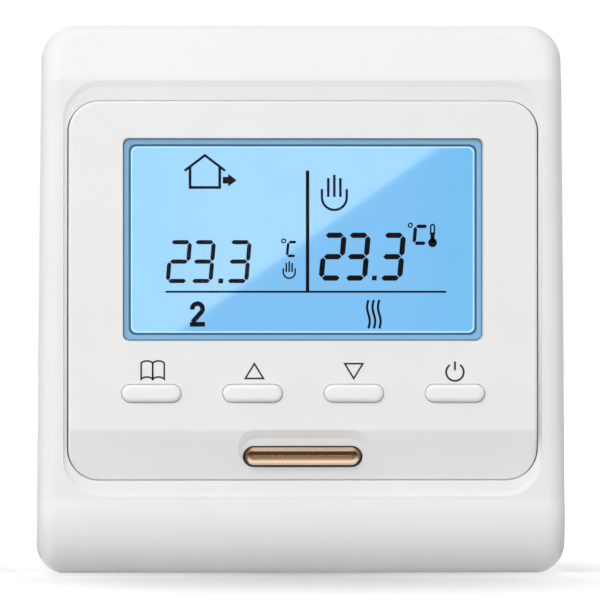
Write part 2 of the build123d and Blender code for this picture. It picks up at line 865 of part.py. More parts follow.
def case(width, length, height):
    """An upright box, sized in shares of the room."""
    size = (width * room_width, length * room_height, height * room_depth)
    return Box(*size, align=(Align.CENTER, Align.CENTER, Align.MIN))


def can(radius, height):
    """An upright cylinder, sized in shares of the room."""
    align = (Align.CENTER, Align.CENTER, Align.MIN)
    return Cylinder(radius * room_width, height * room_depth, align=align)


def bevelled(part):
    return chamfer(part.faces().sort_by(Axis.Z)[-1].edges(), component_bevel)


def make_relay():
    return in_room(-0.47, 0.20, bevelled(case(0.43, 0.34, 0.72)))


def make_transformer():
    """Ferrite core around a wound bobbin between two flanges."""
    core = case(0.34, 0.27, 0.67)
    bore = Pos(0, 0, 0.12 * room_depth) * case(0.24, 0.28, 0.43)
    flange = case(0.30, 0.46, 0.06)
    winding = Pos(0, 0, 0.12 * room_depth) * case(0.24, 0.40, 0.43)
    bobbin = Pos(0, 0, 0.06 * room_depth) * flange + winding + Pos(0, 0, 0.55 * room_depth) * flange
    return in_room(0.56, 0.27, (core - bore) + bobbin)


def make_smoothing_capacitor():
    return in_room(-0.41, 0.59, can(0.085, 0.58))


def make_suppression_capacitor():
    return in_room(0.13, 0.87, bevelled(case(0.28, 0.17, 0.53)))


def make_varistor():
    """A disc that stands on two legs."""
    radius = 0.075 * room_width
    disc = Rot(X=90) * Cylinder(radius, 0.11 * room_height)
    legs = [Pos(side * 0.7 * radius, 0) * case(0.013, 0.02, 0.15) for side in (-1, 1)]
    return in_room(0.53, 0.68, Pos(0, 0, 1.35 * radius) * disc + legs)


def make_fuse():
    return in_room(-0.035, 0.60, can(0.085, 0.37))


def make_rectifier():
    return in_room(-0.75, 0.53, bevelled(case(0.10, 0.13, 0.12)))


def make_regulator():
    """On the front of the power board, with its tab and three leads."""
    width = regulator_width
    length = regulator_length
    align = (Align.CENTER, Align.CENTER, Align.MIN)
    body = Box(width, length, regulator_height, align=align)
    lead = Box(width / 9, length / 2, regulator_lead_height, align=align)
    tab = Box(width / 2, length / 2, regulator_lead_height, align=align)
    body += Pos(0, length * 0.7) * tab
    for side in (-1, 0, 1):
        body += Pos(side * width / 3, -length * 0.7) * lead
    return Pos(-0.47 * room_width / 2, post_y - 2 * length, power_board_front) * body


# -------------------------------------------------------------------- terminals
def terminal_rear():
    return power_board_back - terminal_depth


def clamp_zone():
    """Heights of the clamp cage: its rear end and its front end."""
    rear = terminal_rear() + terminal_screw_recess + terminal_screw_head
    return rear, rear + clamp_depth


def make_terminal_block():
    """One way for each wire: a hole below for the wire and one behind for the screw."""
    rear, front = clamp_zone()
    width = terminal_count * terminal_pitch
    body = Pos(0, terminal_y) * block(Rectangle(width, terminal_height), terminal_rear(), power_board_back)
    body = chamfer(body.edges().filter_by(Axis.X).group_by(Axis.Z)[0], terminal_bevel)
    low = terminal_y - terminal_height / 2
    cage = clamp_width + 2 * clamp_fit
    pocket = Pos(0, low + wire_hole_depth / 2) * Rectangle(cage, wire_hole_depth)
    way = block(pocket, rear - clamp_fit, front + clamp_fit)
    driver = Pos(0, low + wire_hole_depth / 2) * Circle(terminal_screw_radius + clamp_fit)
    way += block(driver, terminal_rear() - beyond, front)
    body -= [Pos(x) * way for x in terminal_places]
    groove = Pos(0, low) * Rectangle(wire_groove_width, 2 * wire_groove_depth)
    between_ways = [x + terminal_pitch / 2 for x in terminal_places[:-1]]
    return body - [Pos(x) * block(groove, -box_depth, power_board_back) for x in between_ways]


def make_terminal_clamps():
    """Square metal cages that the screws close on the wires."""
    rear, front = clamp_zone()
    low = terminal_y - terminal_height / 2
    length = wire_hole_depth - clamp_end_gap
    middle = low + wire_hole_depth / 2
    cage = Pos(0, middle) * block(Rectangle(clamp_width, length), rear, front)
    wire_hole = Rectangle(clamp_width - 2 * clamp_wall, length + beyond)
    cage -= Pos(0, middle) * block(wire_hole, rear + 2 * clamp_wall, front - clamp_wall)
    return joined(Pos(x) * cage for x in terminal_places)


def make_terminal_screws():
    """Slotted heads on the cages, a little below the rear of the block."""
    rear = clamp_zone()[0]
    low = terminal_y - terminal_height / 2
    head_end = terminal_rear() + terminal_screw_recess
    head = block(Circle(terminal_screw_radius), head_end, rear)
    slot_end = head_end + terminal_screw_head * screw_slot_share
    head -= block(Rectangle(2 * terminal_screw_radius, screw_slot_width), head_end, slot_end)
    head = Pos(0, low + wire_hole_depth / 2) * head
    return joined(Pos(x) * head for x in terminal_places)


# ------------------------------------------------------------------------ write
parts = {
    "wall_plate": make_wall_plate(),
    "rear_housing": make_rear_housing(),
    "housing_screws": make_housing_screws(),
    "power_board": make_power_board(),
    "relay": make_relay(),
    "transformer": make_transformer(),
    "smoothing_capacitor": make_smoothing_capacitor(),
    "suppression_capacitor": make_suppression_capacitor(),
    "varistor": make_varistor(),
    "fuse": make_fuse(),
    "rectifier": make_rectifier(),
    "regulator": make_regulator(),
    "terminal_block": make_terminal_block(),
    "terminal_clamps": make_terminal_clamps(),
    "terminal_screws": make_terminal_screws(),
    "header_body": make_header_body(),
    "header_pins": make_header_pins(),
    "outer_frame": make_outer_frame(),
    "front_panel": make_front_panel(),
    "display_window": make_display_window(),
    "trim_bar": make_trim_bar(),
    "front_polariser": make_front_polariser(),
    "lcd_front_glass": make_front_glass(),
    "lcd_rear_glass": make_rear_glass(),
    "rear_polariser": make_rear_polariser(),
    "backlight_diffuser": make_diffuser(),
    "backlight_guide": make_light_guide(),
    "backlight_leds": make_backlight_leds(),
    "zebra_strip": make_zebra_strip(),
    "lcd_holder": make_lcd_holder(),
    "control_board": make_control_board(),
    "microcontroller": make_microcontroller(),
    "memory_chip": make_memory_chip(),
    "clock_crystal": make_clock_crystal(),
    "air_sensor": make_air_sensor(),
    "tact_switches": make_tact_switches(),
    "board_socket": make_board_socket(),
    "panel_screws": make_panel_screws(),
}
for name, (x, y) in zip(button_names, button_places):
    parts[f"{name}_button"] = Pos(x, y) * make_button()
    parts[f"{name}_switch_stem"] = Pos(x, y) * make_switch_stem()

os.makedirs("parts", exist_ok=True)
for name, part in parts.items():
    upright = [Rot(X=90) * solid for solid in part.solids()]
    export_step(Compound(upright), f"parts/{name}.step")
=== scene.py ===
import json
import math

import bmesh
import bpy
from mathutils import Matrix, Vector


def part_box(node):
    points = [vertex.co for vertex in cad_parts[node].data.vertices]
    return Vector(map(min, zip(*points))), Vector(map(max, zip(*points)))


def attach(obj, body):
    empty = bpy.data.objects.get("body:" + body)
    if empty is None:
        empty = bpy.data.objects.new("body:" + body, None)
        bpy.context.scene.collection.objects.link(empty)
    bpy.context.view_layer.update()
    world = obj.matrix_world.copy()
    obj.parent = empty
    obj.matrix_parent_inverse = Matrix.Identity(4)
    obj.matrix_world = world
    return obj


# The looks of the wall thermostat: finishes for every solid, the display's
# characters, the printed symbols and the studio. Lengths are in millimetres, turned
# into metres where a mesh is made. A flat shape is drawn as (x, z) points, as seen
# from the front, and "out" is a distance out of the wall, towards -Y.
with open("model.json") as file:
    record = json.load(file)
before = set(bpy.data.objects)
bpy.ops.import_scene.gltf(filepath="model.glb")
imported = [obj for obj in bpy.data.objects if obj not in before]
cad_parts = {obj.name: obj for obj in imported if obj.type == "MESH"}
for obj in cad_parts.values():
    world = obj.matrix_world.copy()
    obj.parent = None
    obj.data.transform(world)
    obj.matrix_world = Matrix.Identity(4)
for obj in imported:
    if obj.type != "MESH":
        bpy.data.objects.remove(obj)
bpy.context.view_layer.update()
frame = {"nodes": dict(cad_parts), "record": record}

MM = 0.001


# ------------------------------------------------------------------ places, sizes
def extent(node):
    """Lowest and highest x, out and z of a solid, in millimetres."""
    low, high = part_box(node)
    return {
        "left": low[0] / MM, "right": high[0] / MM,
        "back": -high[1] / MM, "front": -low[1] / MM,
        "bottom": low[2] / MM, "top": high[2] / MM,
    }


frame_box = extent("outer_frame")
panel_box = extent("front_panel")
window_box = extent("display_window")
film_box = extent("front_polariser")
button_boxes = {name: extent(f"{name}_button") for name in ("menu", "up", "down", "power")}

film_overlap = 0.9              # the film reaches this far under the panel's ledge
view = {
    "left": film_box["left"] + film_overlap, "right": film_box["right"] - film_overlap,
    "bottom": film_box["bottom"] + film_overlap, "top": film_box["top"] - film_overlap,
}
view_middle = (view["bottom"] + view["top"]) / 2
print_thickness = 0.02
segment_thickness = 0.04
segment_lift = 0.01             # from the film's face to the back of the characters


# ---------------------------------------------------------------------- materials
def linear(red, green, blue):
    """A colour written as it shows on a screen, from 0 to 1, for a shader socket."""
    def channel(value):
        return value / 12.92 if value <= 0.04045 else ((value + 0.055) / 1.055) ** 2.4
    return (channel(red), channel(green), channel(blue), 1.0)


plain_black = (0.0, 0.0, 0.0, 1.0)
plain_white = (1.0, 1.0, 1.0, 1.0)
noise_range = (0.3, 0.7)        # where most values of a noise lie
smoothest = 0.02                # least roughness


class Finish:
    """A material with one Principled shader, and the textures that feed it."""

    def __init__(self, name, colour, roughness, **sockets):
        self.material = bpy.data.materials.new(name)
        self.material.use_nodes = True
        self.tree = self.material.node_tree
        self.shader = self.tree.nodes["Principled BSDF"]
        self.shader.inputs["Base Color"].default_value = colour
        self.shader.inputs["Roughness"].default_value = roughness
        for socket, value in sockets.items():
            self.shader.inputs[socket.replace("_", " ")].default_value = value
        self.colour = colour
        self.roughness = roughness

    def node(self, kind, **settings):
        made = self.tree.nodes.new(kind)
        for name, value in settings.items():
            setattr(made, name, value)
        return made

    def link(self, source, target):
        self.tree.links.new(source, target)

    def place(self, stretch=(1, 1, 1)):
        """The point on the object, in metres, stretched along each axis."""
        coordinates = self.node("ShaderNodeTexCoord")
        mapping = self.node("ShaderNodeMapping")
        mapping.inputs["Scale"].default_value = stretch
        self.link(coordinates.outputs["Object"], mapping.inputs["Vector"])
        return mapping.outputs["Vector"]

    def noise(self, size_mm, detail=2.0, stretch=(1, 1, 1)):
        """A cloudy pattern whose patches have about this size."""
        texture = self.node("ShaderNodeTexNoise")
        texture.inputs["Scale"].default_value = 1 / (size_mm * MM)
        texture.inputs["Detail"].default_value = detail
        self.link(self.place(stretch), texture.inputs["Vector"])
        return texture.outputs["Fac"]

    def bands(self, size_mm, axis="X"):
        """Even stripes across an axis."""
        texture = self.node("ShaderNodeTexWave", wave_type="BANDS", bands_direction=axis)
        texture.inputs["Scale"].default_value = 1 / (size_mm * MM * math.pi)
        self.link(self.place(), texture.inputs["Vector"])
        return texture.outputs["Fac"]

    def ramp(self, factor, low, high, start=0.0, end=1.0):
        """Turn a factor into a colour or a grey between two ends."""
        ramp = self.node("ShaderNodeValToRGB")
        ramp.color_ramp.elements[0].position = start
        ramp.color_ramp.elements[0].color = low
        ramp.color_ramp.elements[1].position = end
        ramp.color_ramp.elements[1].color = high
        self.link(factor, ramp.inputs["Fac"])
        return ramp.outputs["Color"]

    def mix(self, factor, low, high):
        """Blend two colours, each a socket or a fixed value."""
        node = self.node("ShaderNodeMix", data_type="RGBA")
        self.link(factor, node.inputs["Factor"])
        for name, value in (("A", low), ("B", high)):
            if isinstance(value, tuple):
                node.inputs[name].default_value = value
            else:
                self.link(value, node.inputs[name])
        return node.outputs["Result"]

    def along(self, direction):
        """How far the point lies in a direction, in millimetres."""
        dot = self.node("ShaderNodeVectorMath", operation="DOT_PRODUCT")
        self.link(self.place(), dot.inputs[0])
        dot.inputs[1].default_value = tuple(part / MM for part in direction)
        return dot.outputs["Value"]

    def calculate(self, operation, *values):
        """One step of arithmetic on sockets or fixed numbers."""
        node = self.node("ShaderNodeMath", operation=operation)
        for number, value in enumerate(values):
            if isinstance(value, (int, float)):
                node.inputs[number].default_value = value
            else:
                self.link(value, node.inputs[number])
        return node.outputs["Value"]

    def product(self, first, *others):
        for other in others:
            first = self.calculate("MULTIPLY", first, other)
        return first

    def distance(self, one, other):
        """The distance that two lengths at right angles make."""
        squares = (self.product(one, one), self.product(other, other))
        return self.calculate("SQRT", self.calculate("ADD", *squares))

    def between(self, value, start, end, low=0.0, high=1.0):
        """A value that goes evenly from low at the start to high at the end."""
        node = self.node("ShaderNodeMapRange")
        node.inputs["From Min"].default_value = start
        node.inputs["From Max"].default_value = end
        node.inputs["To Min"].default_value = low
        node.inputs["To Max"].default_value = high
        self.link(value, node.inputs["Value"])
        return node.outputs["Result"]

    def axes(self, stretch=(1, 1, 1)):
        """The x, y and z of the point on the object."""
        split = self.node("ShaderNodeSeparateXYZ")
        self.link(self.place(stretch), split.inputs["Vector"])
        return split.outputs["X"], split.outputs["Y"], split.outputs["Z"]

    def paint_over(self, mask, colour):
        """Lay another colour over the base colour where the mask is 1."""
        base = self.shader.inputs["Base Color"]
        self.link(self.mix(mask, base.links[0].from_socket, colour), base)

    def bump(self, height, depth_mm, strength=1.0):
        """Raise the surface where the height is 1."""
        bump = self.node("ShaderNodeBump")
        bump.inputs["Distance"].default_value = depth_mm * MM
        bump.inputs["Strength"].default_value = strength
        self.link(height, bump.inputs["Height"])
        self.link(bump.outputs["Normal"], self.shader.inputs["Normal"])

    def tint(self, factor, amount):
        """Vary the base colour a little, darker where the factor is low."""
        dark = tuple(channel * (1 - amount) for channel in self.colour[:3]) + (1.0,)
        tinted = self.ramp(factor, dark, self.colour, *noise_range)
        self.link(tinted, self.shader.inputs["Base Color"])

    def vary_roughness(self, factor, spread):
        low = (max(self.roughness - spread, smoothest),) * 3 + (1.0,)
        high = (min(self.roughness + spread, 1.0),) * 3 + (1.0,)
        self.link(self.ramp(factor, low, high, *noise_range), self.shader.inputs["Roughness"])


# The trim bar lies in the scoop of the panel, in a seat a little larger than itself, and painted
# shade darkens the groove between them and the bar's two ends. The places of both are measured
# from the upper edge of the scoop's sloping floor.
scoop_tilt = math.radians(15.0)
scoop_head = (0.0, -11.78, -22.8)
bar_below_head = 3.0
bar_radius = 1.55
bar_straight = 8.05             # half the length of its straight sides
seat_radius = 1.8
seat_below_bar = 0.08           # how far the seat's middle lies below the bar's
seat_edge = (seat_radius + 0.10, seat_radius - 0.02)    # no shade outside, full shade inside
bar_edge = (bar_radius - 0.10, bar_radius - 0.03)       # no shade inside, full shade outside
deepest_shade = (-1.3, -1.2)    # from the scoop's floor: none behind, full in front
# colours of the painted shade in the groove, on the panel and on the bar
painted_shade_grey = (0.02, 0.018, 0.015, 1.0)
painted_shade_brown = (0.02, 0.012, 0.01, 1.0)
# the painted shade crescents on the bar's two ends
painted_end_brown = (0.20, 0.12, 0.08, 1.0)
end_bulge = 1.35                # makes the crescents thick in their middle
end_edge = (1.42, 1.60)
end_fade = (0.1, 0.7)


def painted_groove_shade(finish, edge, drop, colour):
    """Painted shade: a dark tone in the narrow groove around the trim bar, most of it below."""
    up = (0, -math.sin(scoop_tilt), math.cos(scoop_tilt))
    out = (0, -math.cos(scoop_tilt), -math.sin(scoop_tilt))
    head_up = Vector(up).dot(Vector(scoop_head))
    head_out = Vector(out).dot(Vector(scoop_head))
    across = finish.calculate("ABSOLUTE", finish.along((1, 0, 0)))
    beside = finish.calculate("MAXIMUM", finish.calculate("SUBTRACT", across, bar_straight), 0.0)
    above = finish.calculate("SUBTRACT", finish.along(up), head_up - bar_below_head - drop)
    near = finish.between(finish.distance(beside, above), *edge)
    low = finish.between(above, bar_radius, 0.0)
    shallow = finish.between(finish.along(out), *(head_out + depth for depth in deepest_shade))
    finish.paint_over(finish.product(near, low, shallow), colour)
    return beside, above


def painted_end_shade(finish, beside, above):
    """Painted shade: dark crescents on the two round ends of the bar."""
    distance = finish.distance(finish.product(beside, end_bulge), above)
    crescent = finish.product(
        finish.between(distance, *end_edge), finish.between(beside, *end_fade)
    )
    finish.paint_over(crescent, painted_end_brown)


def moulded(name, colour, roughness=0.42, grain_mm=0.16, tint=0.02, groove=False):
    """Injection-moulded plastic with a fine spark-eroded grain."""
    grain_depth, cloud_mm, sheen_mm, sheen = 0.004, 14.0, 3.0, 0.04
    finish = Finish(name, colour, roughness)
    finish.bump(finish.noise(grain_mm, detail=3.0), grain_depth)
    finish.tint(finish.noise(cloud_mm), tint)
    finish.vary_roughness(finish.noise(sheen_mm), sheen)
    # painted shade in the groove around the trim bar
    if groove:
        painted_groove_shade(finish, seat_edge, seat_below_bar, painted_shade_grey)
    return finish.material


def polished_plastic(name, colour, roughness=0.18):
    wave_mm, wave_depth, wave_strength = 2.5, 0.01, 0.4
    cloud_mm, tint, sheen_mm, sheen = 6.0, 0.06, 1.5, 0.05
    finish = Finish(name, colour, roughness)
    finish.bump(finish.noise(wave_mm), wave_depth, wave_strength)
    finish.tint(finish.noise(cloud_mm), tint)
    finish.vary_roughness(finish.noise(sheen_mm), sheen)
    return finish.material


def metal(name, colour, roughness=0.28, stretch=(1, 1, 1), grain_mm=0.2, groove=False):
    """Bare metal, brushed along an axis where the stretch is small."""
    grain_depth, grain_strength = 0.003, 0.6
    cloud_mm, tint, sheen_mm, sheen = 1.5, 0.12, 0.8, 0.07
    finish = Finish(name, colour, roughness, Metallic=1.0)
    finish.bump(finish.noise(grain_mm, stretch=stretch), grain_depth, grain_strength)
    finish.tint(finish.noise(cloud_mm, stretch=stretch), tint)
    finish.vary_roughness(finish.noise(sheen_mm, stretch=stretch), sheen)
    # painted shade at the bar's edge in its groove, and painted dark crescents on its ends
    if groove:
        painted_end_shade(finish, *painted_groove_shade(finish, bar_edge, 0.0, painted_shade_brown))
    return finish.material


smear_mm = 5.0                  # size of the faint smears on clear parts
smear = 0.01


def clear(name, colour, roughness=0.02, index=1.49):
    finish = Finish(name, colour, roughness, Transmission_Weight=1.0, IOR=index)
    finish.vary_roughness(finish.noise(smear_mm), smear)
    return finish.material


def thin_clear(name, colour, cover, roughness=0.03):
    """A clear sheet that lets the light of the lamps through to what is printed on its back."""
    finish = Finish(name, colour, roughness, Alpha=cover)
    finish.vary_roughness(finish.noise(smear_mm), smear)
    return finish.material


film_black = linear(0.02, 0.05, 0.08)
film_gloss = 2.0
film_roughness = 0.014
film_fade = (0.55, 1.0)         # where the light falls off towards the display's ends
film_cloud_mm = 7.0
film_cloud = (0.965, 0.97, 0.98, 1.0)


def lit_film(name, colour, edge_colour, strength):
    """The blue film of the display, lit evenly from behind and a little less at its ends."""
    finish = Finish(name, film_black, film_roughness, IOR=film_gloss)
    across = finish.axes((1 / (view["right"] * MM),) * 3)[0]
    glow = finish.ramp(finish.calculate("ABSOLUTE", across), colour, edge_colour, *film_fade)
    grain = finish.ramp(finish.noise(film_cloud_mm), film_cloud, plain_white, *noise_range)
    mix = finish.node("ShaderNodeMix", data_type="RGBA", blend_type="MULTIPLY")
    mix.inputs["Factor"].default_value = 1.0
    finish.link(glow, mix.inputs["A"])
    finish.link(grain, mix.inputs["B"])
    finish.link(mix.outputs["Result"], finish.shader.inputs["Emission Color"])
    finish.shader.inputs["Emission Strength"].default_value = strength
    return finish.material


def print_with_painted_glow(name, colour, glow):
    """A translucent print with a painted glow, which stands in for the display's light from behind.
    """
    roughness, cloud_mm, tint = 0.5, 3.0, 0.06
    finish = Finish(name, colour, roughness)
    finish.tint(finish.noise(cloud_mm), tint)
    finish.shader.inputs["Emission Color"].default_value = glow
    finish.shader.inputs["Emission Strength"].default_value = 1.0
    return finish.material


board_edge = linear(0.05, 0.33, 0.16)
board_mask = (0.004, 0.062, 0.018, 1.0)
board_copper = (0.011, 0.155, 0.045, 1.0)
patch_mm = 6.5
patch_disorder = 0.8
track_pitch = 1.3
turned_share = (0.49, 0.51)     # half the patches have their tracks the other way
plain_share = (0.34, 0.36)      # a third of them are plain copper
track_share = (0.55, 0.65)
copper_height = 0.03


def circuit_board(name):
    """Green solder mask over copper: patches of fine tracks and plain copper ground."""
    roughness, relief, cloud_mm, sheen = 0.3, 0.5, 1.0, 0.06
    finish = Finish(name, board_edge, roughness)
    patches = finish.node("ShaderNodeTexVoronoi", feature="F1", distance="CHEBYCHEV")
    patches.inputs["Scale"].default_value = 1 / (patch_mm * MM)
    patches.inputs["Randomness"].default_value = patch_disorder
    finish.link(finish.place(), patches.inputs["Vector"])
    split = finish.node("ShaderNodeSeparateColor")
    finish.link(patches.outputs["Color"], split.inputs["Color"])
    turned = finish.ramp(split.outputs["Red"], plain_black, plain_white, *turned_share)
    tracked = finish.ramp(split.outputs["Green"], plain_black, plain_white, *plain_share)
    lines = finish.mix(turned, finish.bands(track_pitch, "X"), finish.bands(track_pitch, "Z"))
    tracks = finish.ramp(lines, plain_black, plain_white, *track_share)
    copper = finish.mix(tracked, plain_white, tracks)
    finish.link(finish.mix(copper, board_mask, board_copper), finish.shader.inputs["Base Color"])
    finish.bump(copper, copper_height, relief)
    finish.vary_roughness(finish.noise(cloud_mm), sheen)
    return finish.material


def striped(name, colour, other, size_mm, axis="X"):
    """Even stripes of two colours, as on wound tape or layered rubber."""
    roughness, stripe_share, stripe_height, relief = 0.5, (0.35, 0.65), 0.02, 0.5
    finish = Finish(name, colour, roughness)
    stripes = finish.bands(size_mm, axis)
    painted = finish.ramp(stripes, other, colour, *stripe_share)
    finish.link(painted, finish.shader.inputs["Base Color"])
    finish.bump(stripes, stripe_height, relief)
    return finish.material


white = linear(0.925, 0.925, 0.925)
rose = (0.87, 0.68, 0.49, 1.0)
steel = (0.60, 0.60, 0.60, 1.0)
gold = (0.85, 0.66, 0.32, 1.0)

finishes = {
    "frame_white": moulded("frame_white", white),
    "panel_white": moulded("panel_white", white, roughness=0.38, groove=True),
    "button_white": moulded(
        "button_white", linear(0.94, 0.94, 0.94), roughness=0.34, grain_mm=0.12),
    "base_white": moulded("base_white", linear(0.89, 0.89, 0.885), roughness=0.5, grain_mm=0.25),
    "window_clear": thin_clear("window_clear", plain_black, cover=0.06),
    "trim_metal": metal(
        "trim_metal", rose, roughness=0.13, stretch=(0.05, 1, 1), grain_mm=0.05, groove=True),
    "lcd_glass": clear("lcd_glass", (0.95, 0.98, 1.0, 1.0), index=1.52),
    "polariser_film": lit_film(
        "polariser_film", (0.22, 0.577, 0.97, 1.0), (0.18, 0.56, 0.95, 1.0), strength=1.06),
    "guide_clear": clear("guide_clear", (0.95, 0.98, 1.0, 1.0), roughness=0.08),
    "film_white": moulded("film_white", linear(0.95, 0.96, 0.97), roughness=0.6),
    "led_body": polished_plastic("led_body", linear(0.93, 0.92, 0.80)),
    "strip_rubber": striped(
        "strip_rubber", linear(0.70, 0.70, 0.69), linear(0.16, 0.16, 0.16), size_mm=0.12),
    "holder_white": moulded("holder_white", linear(0.90, 0.90, 0.89), roughness=0.5),
    "board_green": circuit_board("board_green"),
    "chip_black": moulded("chip_black", linear(0.11, 0.11, 0.12), roughness=0.55, tint=0.15),
    "can_steel": metal("can_steel", steel, roughness=0.25),
    "sensor_bead": polished_plastic("sensor_bead", linear(0.12, 0.12, 0.13)),
    "switch_black": moulded("switch_black", linear(0.13, 0.13, 0.13), roughness=0.5, tint=0.1),
    "screw_steel": metal("screw_steel", steel, roughness=0.32),
    "terminal_green": moulded(
        "terminal_green", linear(0.10, 0.42, 0.27), roughness=0.45, tint=0.06),
    "clamp_brass": metal("clamp_brass", gold, roughness=0.35),
    "pin_gold": metal("pin_gold", gold, roughness=0.22),
    "relay_blue": polished_plastic("relay_blue", linear(0.13, 0.27, 0.50)),
    "winding_tape": striped(
        "winding_tape", linear(0.88, 0.74, 0.24), linear(0.72, 0.55, 0.12), size_mm=1.2, axis="Y"),
    "capacitor_sleeve": polished_plastic("capacitor_sleeve", linear(0.10, 0.12, 0.18)),
    "film_yellow": polished_plastic("film_yellow", linear(0.86, 0.74, 0.26), roughness=0.3),
    "varistor_blue": polished_plastic("varistor_blue", linear(0.16, 0.34, 0.62), roughness=0.3),
    "fuse_black": polished_plastic("fuse_black", linear(0.12, 0.12, 0.12), roughness=0.3),
}
# the window border's print and lines glow with painted light from the display
border_blue = print_with_painted_glow("border_blue", (0.13, 0.28, 0.42, 1.0), (0.135, 0.25, 0.37, 1.0))
border_shade = print_with_painted_glow("border_shade", (0.05, 0.12, 0.17, 1.0), (0.06, 0.13, 0.19, 1.0))
painted_inner_shadow_ink = print_with_painted_glow("painted_inner_shadow_ink", (0.02, 0.08, 0.14, 1.0), (0.018, 0.07, 0.12, 1.0))
painted_highlight_ink = print_with_painted_glow("painted_highlight_ink", (0.45, 0.62, 0.75, 1.0), (0.22, 0.42, 0.55, 1.0))
segment_ink = moulded("segment_ink", linear(0.045, 0.06, 0.08), roughness=0.7, tint=0.2)
symbol_ink = moulded("symbol_ink", linear(0.20, 0.21, 0.22), roughness=0.5, tint=0.1)
number_white = moulded("number_white", linear(0.88, 0.90, 0.88), roughness=0.6)
tinned = metal("tinned", (0.72, 0.72, 0.70, 1.0), roughness=0.3)
chip_colours = {
    "board_resistors": moulded("resistor_black", linear(0.09, 0.09, 0.10), roughness=0.35),
    "board_capacitors": moulded("capacitor_tan", linear(0.62, 0.48, 0.34), roughness=0.4, tint=0.1),
}

slot_of = {row["node"]: row["material_slot"] for row in frame["record"]["subparts"]}
for node_name, solid in frame["nodes"].items():
    for slot in solid.material_slots:
        slot.material = finishes[slot_of[node_name]]


# -------------------------------------------------------------------- flat shapes
class Flat:
    """Thin shapes in one plane that faces the front, raised into one piece."""

    def __init__(self, slant=0.0, foot=0.0):
        self.mesh = bmesh.new()
        self.slant = math.tan(math.radians(slant))
        self.foot = foot

    def corner(self, x, z):
        lean = self.slant * (z - self.foot)
        return self.mesh.verts.new(((x + lean) * MM, 0.0, z * MM))

    def polygon(self, points):
        self.mesh.faces.new([self.corner(x, z) for x, z in points])

    def disc(self, x, z, radius, steps=24):
        self.polygon(arc(x, z, radius, 0, 360 - 360 / steps, steps))

    def line(self, points, width, closed=False):
        """A strip of even width along a line, with mitred corners."""
        left, right = [], []
        for index, point in enumerate(points):
            before = points[index - 1] if index or closed else None
            inner = index < len(points) - 1
            after = points[(index + 1) % len(points)] if inner or closed else None
            side = mitre(before, point, after) * (width / 2)
            left.append(self.corner(point[0] + side.x, point[1] + side.y))
            right.append(self.corner(point[0] - side.x, point[1] - side.y))
        for index in range(len(points) if closed else len(points) - 1):
            after = (index + 1) % len(points)
            self.mesh.faces.new((left[index], left[after], right[after], right[index]))

    def piece(self, name, out, thickness, material, slot, body="front_unit"):
        """Raise the shapes to a thickness, with their backs at a distance out of the wall."""
        mesh = self.mesh
        bmesh.ops.recalc_face_normals(mesh, faces=mesh.faces)
        raised = bmesh.ops.extrude_face_region(mesh, geom=list(mesh.faces))
        tops = [part for part in raised["geom"] if isinstance(part, bmesh.types.BMVert)]
        bmesh.ops.translate(mesh, verts=tops, vec=(0, -thickness * MM, 0))
        bmesh.ops.recalc_face_normals(mesh, faces=mesh.faces)
        bmesh.ops.translate(mesh, verts=mesh.verts, vec=(0, -out * MM, 0))
        data = bpy.data.meshes.new(name)
        mesh.to_mesh(data)
        mesh.free()
        data.materials.append(material)
        made = bpy.data.objects.new(name, data)
        bpy.context.scene.collection.objects.link(made)
        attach(made, body)
        return made


sharpest_mitre = 0.4


def mitre(before, point, after):
    """The sideways vector of a strip at a point, longer at a corner."""
    here = Vector(point)
    ways = [(here - Vector(before)).normalized()] if before is not None else []
    ways += [(Vector(after) - here).normalized()] if after is not None else []
    sides = [Vector((-way.y, way.x)) for way in ways]
    mean = sum(sides, Vector((0, 0))).normalized()
    return mean / max(mean.dot(sides[0]), sharpest_mitre)


def arc(x, z, radius, start, end, steps=12):
    """Points along an arc, its angles in degrees from the right, against the clock."""
    angles = [math.radians(start + (end - start) * step / (steps - 1)) for step in range(steps)]
    return [(x + radius * math.cos(angle), z + radius * math.sin(angle)) for angle in angles]


def rounded(left, right, bottom, top, radius, steps=8):
    """The outline of a rounded rectangle."""
    return (
        arc(right - radius, top - radius, radius, 0, 90, steps)
        + arc(left + radius, top - radius, radius, 90, 180, steps)
        + arc(left + radius, bottom + radius, radius, 180, 270, steps)
        + arc(right - radius, bottom + radius, radius, 270, 360, steps)
    )


# ----------------------------------------------------------------- window border
border_radius = 1.0
# widths of the inner painted shadow line, the outer painted shadow line and the painted highlight
# line
inner_shadow_width = 0.38
border_edge_width = 0.228
painted_highlight_width = 0.224
border_gap = 0.02               # between the print and the window's edge
window_lift = 0.004             # the print lies this far inside the window's back


def make_window_border():
    """A pale blue print around the display, seen through the window, between two painted shadow
    lines, and a painted highlight line just inside the inner one.
    """
    floor = window_box["back"] + window_lift
    width = view["left"] - window_box["left"] - border_gap

    def ring(name, outside, line_width, layer, ink):
        """A line around the display, its outer edge this far outside the display's."""
        reach = outside - line_width / 2
        flat = Flat()
        corners = rounded(
            view["left"] - reach, view["right"] + reach,
            view["bottom"] - reach, view["top"] + reach, max(border_radius, reach)
        )
        flat.line(corners, line_width, closed=True)
        out = floor + layer * print_thickness
        flat.piece(name, out, print_thickness * 0.8, ink, "window_clear")

    ring("window_border", width, width + painted_highlight_width, 0, border_blue)
    ring("window_border_outer_painted_shadow", width, border_edge_width, 1, border_shade)
    ring("window_border_inner_painted_shadow", inner_shadow_width * 0.7, inner_shadow_width, 1, painted_inner_shadow_ink)
    ring("window_border_painted_highlight", -inner_shadow_width * 0.3, painted_highlight_width, 1, painted_highlight_ink)


